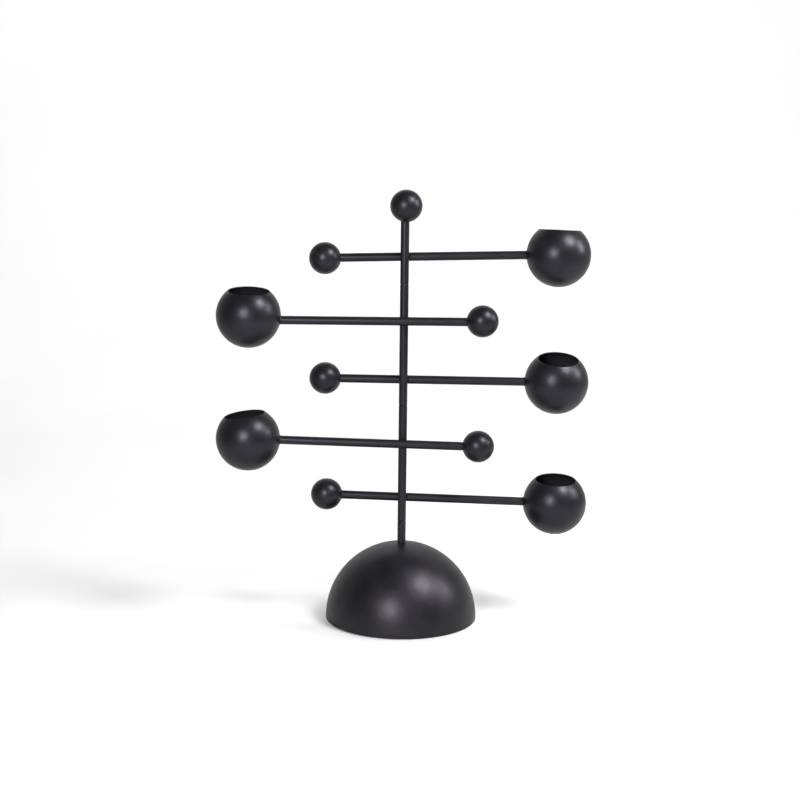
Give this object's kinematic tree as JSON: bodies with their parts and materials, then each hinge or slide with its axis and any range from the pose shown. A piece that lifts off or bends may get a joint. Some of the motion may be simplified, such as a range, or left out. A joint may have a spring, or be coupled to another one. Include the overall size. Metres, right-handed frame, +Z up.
{
  "type": "votive candle rack",
  "caption": "Free-standing votive candle rack: hollow dome base, screwed post with crossing arms, each arm with an open ball-shaped candle cup at one end and a small ball at the other.",
  "frame": {"origin": "centre of the round base, on the surface that the rack stands on", "axes": "+Z up along the post, +X to the right as seen from the front, +Y to the back"},
  "size_m": [0.3961, 0.162, 0.46],
  "materials": {
    "black_coat": "satin black powder coat with a fine texture",
    "zinc_steel": "bright zinc plate on turned threads",
    "pad_felt": "black pressed felt"
  },
  "bodies": {
    "base": {"dome_shell": "black_coat", "base_plate": "black_coat", "plate_tacks": "black_coat", "base_pad": "pad_felt", "post_stub": "black_coat", "stub_washer": "zinc_steel", "stub_nut": "zinc_steel", "joint_stud_lower": "zinc_steel"},
    "lower_tier": {"post_lower": "black_coat", "joint_stud_middle": "zinc_steel", "arm_rod_4": "black_coat", "cup_4": "black_coat", "small_ball_4": "black_coat", "crossing_weld_4": "black_coat", "cup_weld_4": "black_coat", "arm_rod_5": "black_coat", "cup_5": "black_coat", "small_ball_5": "black_coat", "crossing_weld_5": "black_coat", "cup_weld_5": "black_coat"},
    "middle_tier": {"post_middle": "black_coat", "joint_stud_upper": "zinc_steel", "arm_rod_2": "black_coat", "cup_2": "black_coat", "small_ball_2": "black_coat", "crossing_weld_2": "black_coat", "cup_weld_2": "black_coat", "arm_rod_3": "black_coat", "cup_3": "black_coat", "small_ball_3": "black_coat", "crossing_weld_3": "black_coat", "cup_weld_3": "black_coat"},
    "top_tier": {"post_top": "black_coat", "top_ball": "black_coat", "arm_rod_1": "black_coat", "cup_1": "black_coat", "small_ball_1": "black_coat", "crossing_weld_1": "black_coat", "cup_weld_1": "black_coat"}
  },
  "joints": [
    {"name": "lower_tier_turn", "type": "hinge", "parent": "base", "child": "lower_tier", "pos_m": [0, 0, 0.1065], "axis": [0, 0, 1], "range_deg": [0, 180]},
    {"name": "middle_tier_turn", "type": "hinge", "parent": "lower_tier", "child": "middle_tier", "pos_m": [0, 0, 0.233], "axis": [0, 0, 1], "range_deg": [0, 180]},
    {"name": "top_tier_turn", "type": "hinge", "parent": "middle_tier", "child": "top_tier", "pos_m": [0, 0, 0.3615], "axis": [0, 0, 1], "range_deg": [0, 180]}
  ]
}
